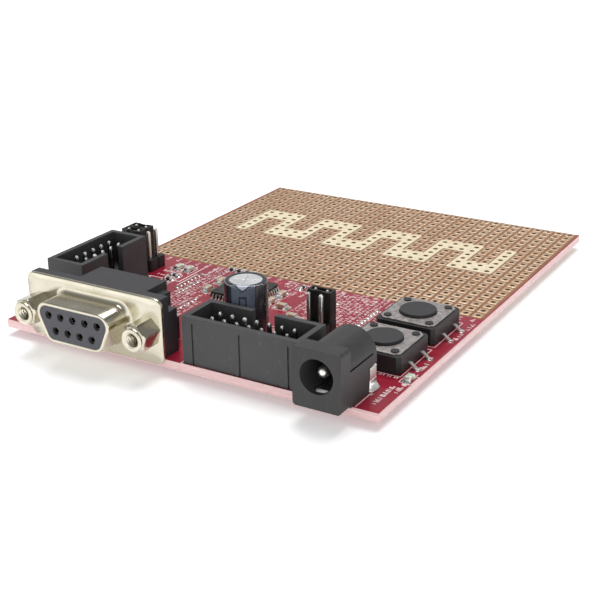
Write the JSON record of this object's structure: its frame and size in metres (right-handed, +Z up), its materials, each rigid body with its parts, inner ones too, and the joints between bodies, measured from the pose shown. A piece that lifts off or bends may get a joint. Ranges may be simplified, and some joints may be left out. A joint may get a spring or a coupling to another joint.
{
  "type": "microcontroller dev board",
  "caption": "Microcontroller dev board with a serial socket, box headers, power socket, push switches and shunts in front of a field of plated prototyping holes.",
  "frame": {"origin": "middle of the underside of the bounding box, in the plane of the lead tips that the board stands on", "axes": "+X to the right along the connector edge, +Y towards the prototyping field, +Z up, away from the solder side"},
  "size_m": [0.08, 0.1066, 0.0151],
  "materials": {
    "board_mask": "glossy",
    "pad_copper": "satin",
    "silkscreen": "matte",
    "solder": "glossy",
    "nickel_shell": "satin",
    "nickel_screw": "satin",
    "socket_face": "satin",
    "connector_black": "satin",
    "gold_contact": "satin",
    "tinned_metal": "satin",
    "header_plastic": "satin",
    "jack_plastic": "satin",
    "switch_black": "satin",
    "switch_steel": "satin",
    "plunger_grey": "satin",
    "can_aluminium": "satin",
    "sleeve_film": "glossy",
    "bung_rubber": "matte",
    "shunt_black": "satin",
    "chip_black": "matte",
    "crystal_steel": "satin",
    "resistor_black": "satin",
    "capacitor_tan": "matte",
    "led_lens": "glossy"
  },
  "bodies": {
    "board": {"pcb": "board_mask", "solder_joints": "solder", "serial_shell": "nickel_shell", "serial_insulator": "socket_face", "serial_housing": "connector_black", "serial_contacts": "gold_contact", "serial_jackscrews": "nickel_screw", "serial_ground_straps": "tinned_metal", "long_header_shroud": "header_plastic", "long_header_pins": "tinned_metal", "short_header_shroud": "header_plastic", "short_header_pins": "tinned_metal", "power_housing": "jack_plastic", "power_centre_pin": "tinned_metal", "power_spring_contact": "tinned_metal", "power_side_lug": "tinned_metal", "capacitor_can": "can_aluminium", "capacitor_sleeve": "sleeve_film", "capacitor_bung": "bung_rubber", "capacitor_leads": "tinned_metal", "mode_header_base": "shunt_black", "mode_header_pins": "tinned_metal", "boot_header_base": "shunt_black", "boot_header_pins": "tinned_metal", "mcu_body": "chip_black", "mcu_leads": "tinned_metal", "driver_body": "chip_black", "driver_leads": "tinned_metal", "regulator_body": "chip_black", "regulator_leads": "tinned_metal", "diode_body": "chip_black", "diode_leads": "tinned_metal", "crystal_can": "crystal_steel", "crystal_base": "chip_black", "chip_resistors": "resistor_black", "chip_capacitors": "capacitor_tan", "status_leds": "led_lens", "switch_1_base": "switch_black", "switch_1_cover": "switch_steel", "switch_1_dome": "switch_steel", "switch_1_leads": "tinned_metal", "switch_2_base": "switch_black", "switch_2_cover": "switch_steel", "switch_2_dome": "switch_steel", "switch_2_leads": "tinned_metal"},
    "switch_1_plunger": {"switch_1_plunger": "plunger_grey"},
    "switch_2_plunger": {"switch_2_plunger": "plunger_grey"},
    "mode_shunt_1": {"mode_shunt_1": "shunt_black", "mode_clip_1": "gold_contact"},
    "mode_shunt_2": {"mode_shunt_2": "shunt_black", "mode_clip_2": "gold_contact"},
    "boot_shunt": {"boot_shunt": "shunt_black", "boot_clip": "gold_contact"}
  },
  "joints": [
    {"name": "switch_1_press", "type": "slide", "parent": "board", "child": "switch_1_plunger", "axis": [0, 0, -1], "range_m": [0, 0.0003], "stiffness_N_per_m": 1500},
    {"name": "switch_2_press", "type": "slide", "parent": "board", "child": "switch_2_plunger", "axis": [0, 0, -1], "range_m": [0, 0.0003], "stiffness_N_per_m": 1500},
    {"name": "mode_shunt_1_pull", "type": "slide", "parent": "board", "child": "mode_shunt_1", "axis": [0, 0, 1], "range_m": [0, 0.008]},
    {"name": "mode_shunt_2_pull", "type": "slide", "parent": "board", "child": "mode_shunt_2", "axis": [0, 0, 1], "range_m": [0, 0.008]},
    {"name": "boot_shunt_pull", "type": "slide", "parent": "board", "child": "boot_shunt", "axis": [0, 0, 1], "range_m": [0, 0.008]}
  ]
}
